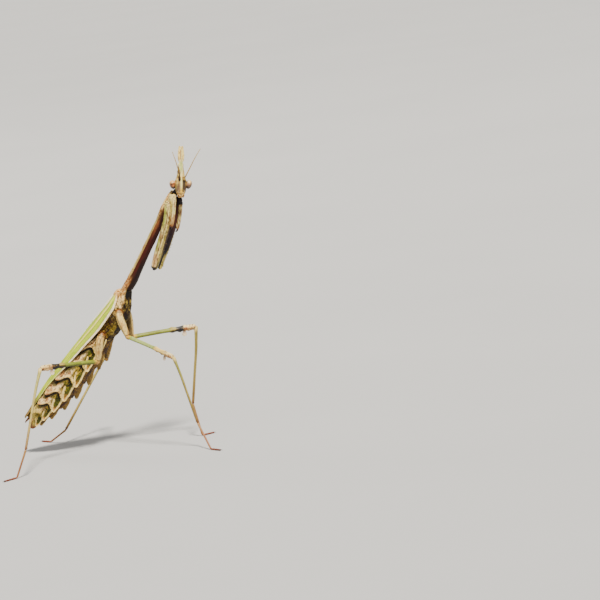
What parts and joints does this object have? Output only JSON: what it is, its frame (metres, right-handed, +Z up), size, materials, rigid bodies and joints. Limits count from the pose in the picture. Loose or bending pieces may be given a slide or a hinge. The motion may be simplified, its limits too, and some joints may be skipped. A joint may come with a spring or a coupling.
{
  "type": "conehead mantis",
  "caption": "Slender conehead mantis standing with its body sloping up, raptorial legs folded under a long neck shield and its crested head turned to its right.",
  "frame": {"origin": "on the ground, under the middle of the whole animal's box", "axes": "+Z up, the body heads towards -Y, the animal's left is +X"},
  "size_m": [0.0414, 0.047, 0.0568],
  "materials": {
    "pale_cuticle": "cream insect cuticle with fine brown lines and flecks, faint sheen",
    "dark_cuticle": "dark maroon-brown cuticle, satin",
    "mottled_belly": "olive green mottled with dark brown, cream edges on the lobes",
    "green_tegmen": "lime-green leathery wing cover with pale margins and fine veins",
    "membrane_tip": "pinkish-beige folded wing membrane",
    "eye": "orange-brown compound eye, glossy, with fine facets",
    "antenna": "golden-brown ringed thread",
    "green_leg": "sage-green cuticle, cream towards the knee with a dark band between",
    "khaki_leg": "khaki-beige cuticle, browner towards the foot",
    "brown_foot": "reddish-brown cuticle, satin"
  },
  "bodies": {
    "root": {"abdomen_1": "mottled_belly", "abdomen_2": "mottled_belly", "abdomen_3": "mottled_belly", "abdomen_4": "mottled_belly", "abdomen_5": "mottled_belly", "abdomen_6": "mottled_belly", "abdomen_7": "mottled_belly", "abdomen_tip": "pale_cuticle", "antenna_left": "antenna", "antenna_right": "antenna", "cercus_left": "pale_cuticle", "cercus_right": "pale_cuticle", "crest": "pale_cuticle", "eye_left": "eye", "eye_right": "eye", "fore_coxa_left": "pale_cuticle", "fore_coxa_right": "pale_cuticle", "fore_femur_left": "pale_cuticle", "fore_femur_right": "pale_cuticle", "fore_tarsus_left": "khaki_leg", "fore_tarsus_right": "khaki_leg", "fore_tibia_left": "pale_cuticle", "fore_tibia_right": "pale_cuticle", "head": "pale_cuticle", "hind_left_coxa": "pale_cuticle", "hind_left_femur": "green_leg", "hind_left_tarsus": "brown_foot", "hind_left_tibia": "khaki_leg", "hind_right_coxa": "pale_cuticle", "hind_right_femur": "green_leg", "hind_right_tarsus": "brown_foot", "hind_right_tibia": "khaki_leg", "hindwing_left": "membrane_tip", "hindwing_right": "membrane_tip", "mesothorax": "pale_cuticle", "metathorax": "mottled_belly", "mid_left_coxa": "pale_cuticle", "mid_left_femur": "green_leg", "mid_left_tarsus": "brown_foot", "mid_left_tibia": "khaki_leg", "mid_right_coxa": "pale_cuticle", "mid_right_femur": "green_leg", "mid_right_tarsus": "brown_foot", "mid_right_tibia": "khaki_leg", "mouthparts": "pale_cuticle", "neck": "dark_cuticle", "pronotum": "pale_cuticle", "tegmen_left": "green_tegmen", "tegmen_right": "green_tegmen"}
  },
  "joints": []
}
